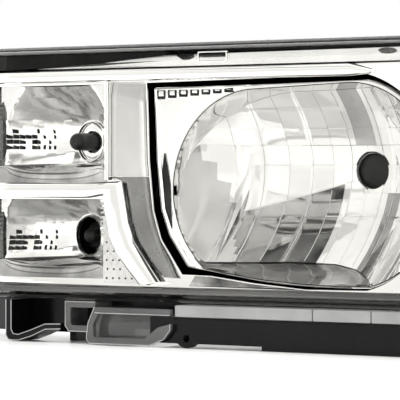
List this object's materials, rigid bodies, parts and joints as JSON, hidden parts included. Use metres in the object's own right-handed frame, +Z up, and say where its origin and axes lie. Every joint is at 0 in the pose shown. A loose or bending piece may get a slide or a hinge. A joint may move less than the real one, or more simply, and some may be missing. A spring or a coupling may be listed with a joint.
{
  "type": "car headlight assembly",
  "caption": "Rectangular car headlight with a round-ended main reflector beside stacked turn and position chambers, clear lens, chrome trims and a black housing.",
  "frame": {"origin": "centre of the bounding box's floor, where the foot, the fins and the brackets stand", "axes": "+Z up, light leaves along -Y, +X towards the inner (grille) side, -X the outer side that sweeps back"},
  "size_m": [0.462, 0.206, 0.208],
  "materials": {
    "housing_black_plastic": "fine-grained black polypropylene",
    "front_lens_clear_lens": "clear hard-coated polycarbonate",
    "lens_seal_rubber": "black elastomer",
    "bezel_chrome": "bright vacuum-metallised plastic",
    "top_blade_chrome": "bright vacuum-metallised plastic",
    "divider_blade_chrome": "bright vacuum-metallised plastic",
    "panel_edge_chrome": "bright vacuum-metallised plastic",
    "centre_panel_satin_silver": "satin metallised plastic",
    "dimple_panel_chrome": "bright vacuum-metallised plastic",
    "upper_shade_black_plastic": "fine-grained black polypropylene",
    "upper_strip_chrome": "bright vacuum-metallised plastic",
    "lower_inner_strip_satin_silver": "satin metallised plastic",
    "lower_strip_1_grey_plastic": "grey moulded plastic",
    "lower_strip_2_grey_plastic": "grey moulded plastic",
    "lower_strip_3_grey_plastic": "grey moulded plastic",
    "outer_trim_upper_dark_trim": "dark grey ribbed moulding with a metallic tone",
    "outer_trim_lower_dark_trim": "dark grey ribbed moulding with a metallic tone",
    "gusset_bracket_black_plastic": "fine-grained black polypropylene",
    "outer_clip_smoked_clip": "glossy dark grey moulding",
    "inner_clip_smoked_clip": "glossy dark grey moulding",
    "turn_reflector_chrome": "bright vacuum-metallised plastic",
    "position_reflector_chrome": "bright vacuum-metallised plastic",
    "main_reflector_chrome": "bright vacuum-metallised plastic",
    "main_bulb_glass_coated_glass": "dark mirror-coated bulb glass",
    "main_bulb_flange_steel": "plain zinc-plated steel",
    "main_bulb_base_black_plastic": "fine-grained black polypropylene",
    "main_bulb_plug_grey_plastic": "grey moulded plastic",
    "bulb_clip_steel": "plain zinc-plated steel",
    "turn_socket_grey_plastic": "grey moulded plastic",
    "turn_bulb_coated_glass": "dark mirror-coated bulb glass",
    "position_socket_grey_plastic": "grey moulded plastic",
    "position_bulb_bulb_glass": "clear bulb glass",
    "pivot_ball_nylon": "natural nylon",
    "pivot_post_black_plastic": "fine-grained black polypropylene",
    "vertical_aim_rod_nylon": "natural nylon",
    "vertical_aim_bush_rubber": "black elastomer",
    "vertical_aim_wheel_nylon": "natural nylon",
    "horizontal_aim_rod_nylon": "natural nylon",
    "horizontal_aim_bush_rubber": "black elastomer",
    "horizontal_aim_wheel_nylon": "natural nylon",
    "dust_cap_black_plastic": "fine-grained black polypropylene",
    "cap_seal_rubber": "black elastomer",
    "upper_vent_rubber": "black elastomer",
    "lower_vent_rubber": "black elastomer",
    "main_connector_grey_plastic": "grey moulded plastic",
    "connector_blade_1_steel": "plain zinc-plated steel",
    "connector_blade_2_steel": "plain zinc-plated steel",
    "connector_blade_3_steel": "plain zinc-plated steel",
    "connector_blade_4_steel": "plain zinc-plated steel",
    "lug_sleeve_1_steel": "plain zinc-plated steel",
    "lug_sleeve_2_steel": "plain zinc-plated steel",
    "lug_sleeve_3_steel": "plain zinc-plated steel"
  },
  "bodies": {
    "lamp_body": {"housing": "housing_black_plastic", "front_lens": "front_lens_clear_lens", "lens_seal": "lens_seal_rubber", "bezel": "bezel_chrome", "top_blade": "top_blade_chrome", "divider_blade": "divider_blade_chrome", "panel_edge": "panel_edge_chrome", "centre_panel": "centre_panel_satin_silver", "dimple_panel": "dimple_panel_chrome", "upper_shade": "upper_shade_black_plastic", "upper_strip": "upper_strip_chrome", "lower_inner_strip": "lower_inner_strip_satin_silver", "lower_strip_1": "lower_strip_1_grey_plastic", "lower_strip_2": "lower_strip_2_grey_plastic", "lower_strip_3": "lower_strip_3_grey_plastic", "outer_trim_upper": "outer_trim_upper_dark_trim", "outer_trim_lower": "outer_trim_lower_dark_trim", "gusset_bracket": "gusset_bracket_black_plastic", "outer_clip": "outer_clip_smoked_clip", "inner_clip": "inner_clip_smoked_clip", "turn_reflector": "turn_reflector_chrome", "position_reflector": "position_reflector_chrome", "pivot_post": "pivot_post_black_plastic", "vertical_aim_bush": "vertical_aim_bush_rubber", "horizontal_aim_bush": "horizontal_aim_bush_rubber", "upper_vent": "upper_vent_rubber", "lower_vent": "lower_vent_rubber", "main_connector": "main_connector_grey_plastic", "connector_blade_1": "connector_blade_1_steel", "connector_blade_2": "connector_blade_2_steel", "connector_blade_3": "connector_blade_3_steel", "connector_blade_4": "connector_blade_4_steel", "lug_sleeve_1": "lug_sleeve_1_steel", "lug_sleeve_2": "lug_sleeve_2_steel", "lug_sleeve_3": "lug_sleeve_3_steel"},
    "pivot_ball": {"pivot_ball": "pivot_ball_nylon"},
    "reflector": {"main_reflector": "main_reflector_chrome", "main_bulb_glass": "main_bulb_glass_coated_glass", "main_bulb_flange": "main_bulb_flange_steel", "main_bulb_base": "main_bulb_base_black_plastic", "main_bulb_plug": "main_bulb_plug_grey_plastic"},
    "bulb_clip": {"bulb_clip": "bulb_clip_steel"},
    "vertical_aim_rod": {"vertical_aim_rod": "vertical_aim_rod_nylon"},
    "horizontal_aim_rod": {"horizontal_aim_rod": "horizontal_aim_rod_nylon"},
    "vertical_aim_wheel": {"vertical_aim_wheel": "vertical_aim_wheel_nylon"},
    "horizontal_aim_wheel": {"horizontal_aim_wheel": "horizontal_aim_wheel_nylon"},
    "dust_cap": {"dust_cap": "dust_cap_black_plastic", "cap_seal": "cap_seal_rubber"},
    "turn_holder": {"turn_socket": "turn_socket_grey_plastic", "turn_bulb": "turn_bulb_coated_glass"},
    "position_holder": {"position_socket": "position_socket_grey_plastic", "position_bulb": "position_bulb_bulb_glass"}
  },
  "joints": [
    {"name": "reflector_yaw", "type": "hinge", "parent": "lamp_body", "child": "pivot_ball", "pos_m": [0, -0.038, 0.17], "axis": [0, 0, 1], "range_deg": [-1.5, 1.5]},
    {"name": "reflector_tilt", "type": "hinge", "parent": "pivot_ball", "child": "reflector", "pos_m": [0, -0.038, 0.17], "axis": [1, 0, 0], "range_deg": [-2, 2]},
    {"name": "bulb_clip_hinge", "type": "hinge", "parent": "reflector", "child": "bulb_clip", "pos_m": [0.0898, 0.0506, 0.1008], "axis": [-1, 0, 0], "range_deg": [0, 70]},
    {"name": "vertical_rod_slide", "type": "slide", "parent": "lamp_body", "child": "vertical_aim_rod", "axis": [0, 1, 0], "range_m": [-0.004, 0.004]},
    {"name": "horizontal_rod_slide", "type": "slide", "parent": "lamp_body", "child": "horizontal_aim_rod", "axis": [0, 1, 0], "range_m": [-0.0048, 0.0048]},
    {"name": "vertical_wheel_turn", "type": "hinge", "parent": "lamp_body", "child": "vertical_aim_wheel", "pos_m": [0, 0.072, 0.058], "axis": [0, 1, 0], "range_deg": [-480, 480]},
    {"name": "horizontal_wheel_turn", "type": "hinge", "parent": "lamp_body", "child": "horizontal_aim_wheel", "pos_m": [0.178, 0.072, 0.17], "axis": [0, 1, 0], "range_deg": [-570, 570]},
    {"name": "dust_cap_turn", "type": "hinge", "parent": "lamp_body", "child": "dust_cap", "pos_m": [0.0898, 0.1, 0.1198], "axis": [0, 1, 0], "range_deg": [0, 30]},
    {"name": "turn_holder_turn", "type": "hinge", "parent": "lamp_body", "child": "turn_holder", "pos_m": [-0.1086, 0.01, 0.1408], "axis": [0, 1, 0], "range_deg": [0, 45]},
    {"name": "position_holder_turn", "type": "hinge", "parent": "lamp_body", "child": "position_holder", "pos_m": [-0.1104, 0.01, 0.0736], "axis": [0, 1, 0], "range_deg": [0, 45]}
  ],
  "couplings": [
    {"joint": "vertical_rod_slide", "follows": "reflector_tilt", "m_per_rad": 0.112},
    {"joint": "horizontal_rod_slide", "follows": "reflector_yaw", "m_per_rad": 0.178},
    {"joint": "vertical_wheel_turn", "follows": "reflector_tilt", "ratio": 234.6},
    {"joint": "horizontal_wheel_turn", "follows": "reflector_yaw", "ratio": 372.8}
  ]
}
